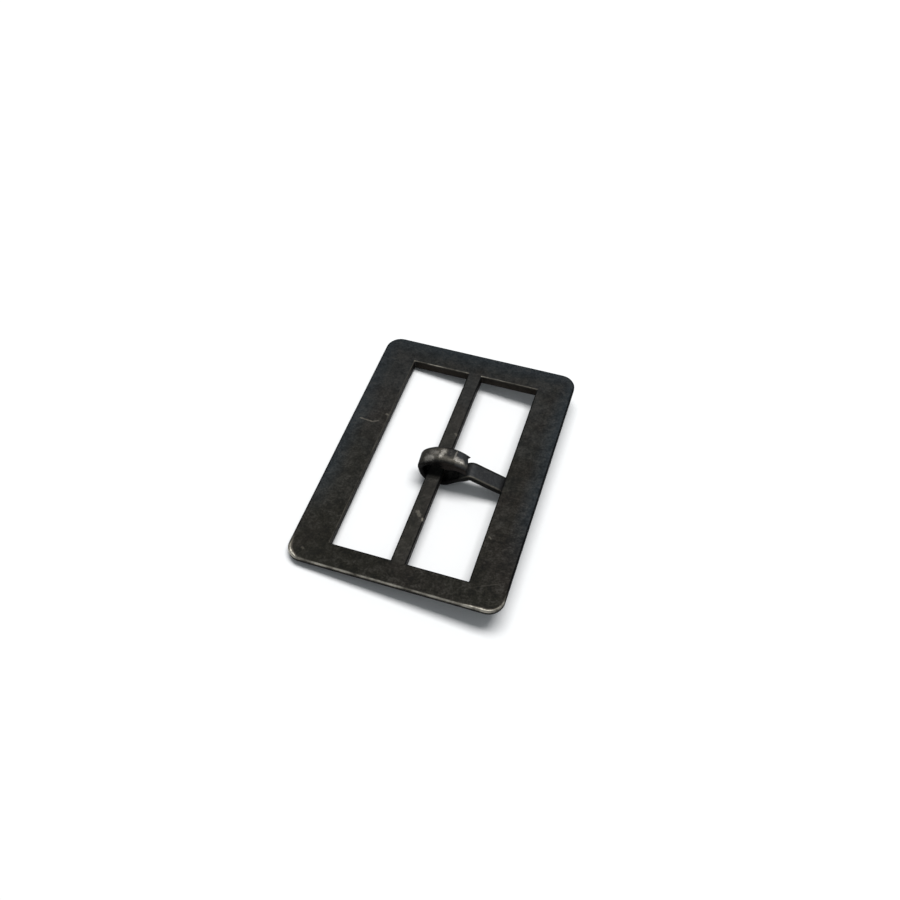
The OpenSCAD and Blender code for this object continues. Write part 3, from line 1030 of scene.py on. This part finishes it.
# %% Blackened steel on the tongue
# The soot black is also the painted shade on the tongue's sides, its curl and under the rim
UMBER, IRON, SOOT_AND_SHADE = (0.0145, 0.0132, 0.012), (0.023, 0.023, 0.0235), (0.0035, 0.0032, 0.003)
BRONZE, STEEL = (0.085, 0.078, 0.065), (0.31, 0.29, 0.26)
END_GREY, SHADED_SIDE_BROWN = (0.044, 0.047, 0.051), (0.020, 0.0155, 0.0135)
TONGUE_CLOUDS, TONGUE_WEAR, TONGUE_LINES, TONGUE_LINE_ANGLE = 1.6, 1.5, 1.6, 1.5
SPOTS = [
    ("left spot", (6.9, -0.65, 0.0), (8.2, -0.55, 0.1), 0.7, 0.9),
    ("left spot, upper part", (6.1, 0.0, 0.0), (7.4, 0.4, 0.1), 0.6, 0.5),
    ("middle spot", (5.2, -0.3, 0.0), (4.9, 0.4, 0.0), 0.6, 1.0),
    ("line across the crown", (2.65, -0.5, 0.0), (2.45, 1.2, 0.0), 0.2, 0.38),
    ("end spot", (2.25, -0.3, 0.0), (1.15, -0.35, 0.0), 0.5, 1.0)]

look = Look("blackened_steel", "strip", TONGUE_CLOUDS)
look.at["side"] = combine(look.tree, "ABSOLUTE", look.at["Y"], 0.0)
look.color = look.blend(look.clouds["Cloud"], UMBER, IRON)
look.coat(look.spread(look.mottled, 0.45, 0.1, 0.0, 0.7), SOOT_AND_SHADE)
look.coat(look.spread(look.mottled, 0.5, 1.0, 0.0, 0.35), BRONZE)
cut_end, near_end = look.fade("X", 2.4, 2.0, 0.6), look.fade("X", 5.6, 4.2)
look.coat(cut_end, END_GREY)
# Painted shade on the side faces: near black, brown near the cut end
look.coat(look.fade("side", 1.25, 1.45, 0.9), look.blend(near_end, SOOT_AND_SHADE, SHADED_SIDE_BROWN))
scratches = place_group(look.tree, hairlines, Scale=TONGUE_LINES, Angle=TONGUE_LINE_ANGLE)
look.coat(look.times(scratches["Line"], 0.15), BRONZE)
# Painted shade on the inside of the curl
curl_inside_shade = look.times(look.fade("Z", 0.9, 1.15), look.fade("X", 24, 20, 0.7))
look.coat(curl_inside_shade, SOOT_AND_SHADE)
# The far edges are painted black, and the back of the curl is painted shade where it turns under
# the bar
far_edge = look.fade("Y", 1.1, 1.3, 0.85)
curl_back_shade = look.times(look.fade("X", 9.4, 10.4, 0.8), look.fade("X", 24, 20))
look.coat(look.most(far_edge, curl_back_shade), SOOT_AND_SHADE)

shaft_face = look.times(look.fade("X", 23.5, 25), look.fade("Z", 0.9, 1.02),
                        look.fade("Y", 1.25, 1.05))
look.coat(look.times(shaft_face, 0.48), END_GREY)
# A light line along the shaft's near edge: partly wear and partly painted highlight
near_wear_and_highlight = look.times(shaft_face, look.fade("Y", -1.2, -1.4, 0.75))
look.coat(near_wear_and_highlight, BRONZE)
# Painted shadow of the rim on the shaft where it goes under the rim
rim_shadow = look.times(shaft_face, look.fade("X", 31.0, 32.3, 0.85))
look.coat(rim_shadow, SOOT_AND_SHADE)

behind_band, near_side = look.fade("X", 3.9, 4.6), look.fade("Y", -0.1, -0.7)
worn_crown = look.times(
    look.most(behind_band, near_side), look.fade("X", 11, 8.5), look.fade("Z", 0.3, 0.1),
    look.fade("Y", -1.25, -0.9), look.fade("Y", 1.3, 0.95),
    look.spread(look.clouds["Cloud"], 0, 1, 0.3, 0.75))
spots = look.times(look.marks(SPOTS), look.spread(look.clouds["Blotch"], 0, 1, 0.45, 1.15))
# The rub is stronger on the shaft, for the light line along its near edge, partly painted
# highlight
rub = look.times(attribute(look.tree, "rub"), look.fade("X", 24, 27, 0.75, low=0.22))
wear = place_group(look.tree, rubbed, Rub=rub, Scale=TONGUE_WEAR)
thin = look.most(wear["Thin"], worn_crown)
look.coat(thin, BRONZE)
look.coat(look.most(spots, wear["Bare"]), STEEL)
blackened = look.finish(thin, spots, dull=(0.56, 0.38), pits=(0.6, 0.06 * MM))

# %% Bend the tongue, lay it down and bake its skin
tongue_strip = bake(tongue_blank, bend_tree, Former=former, Finish=blackened)
bpy.data.objects.remove(former)
onto_bar = Matrix.Translation((0, TONGUE_OFFSET, 0)) @ Matrix.Rotation(TONGUE_YAW, 4, "Z")
tongue_strip.data.transform(LAY_DOWN @ onto_bar)
tongue_strip = bake(tongue_strip, skin_tree, Swell=0.02 * MM, Ripple=0.012 * MM, Seed=7.0,
                    Finish=blackened)
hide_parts("tongue")
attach(tongue_strip, "tongue")
lowest = min(v.co.z for v in tongue_strip.data.vertices)
print(f"tongue: {len(tongue_strip.data.polygons)} faces, lowest point {lowest / MM:.3f} mm")

# %% [markdown]
# ## Sizes at the end
#
# The visual model's box is printed, beside the imported model's box printed at the start. The
# visual model has to stay in the imported model's box.

# %% Sizes and finish
VISUAL_BOX = [list(corner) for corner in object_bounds()]
print("visual box in mm:", [in_mm(corner) for corner in VISUAL_BOX])
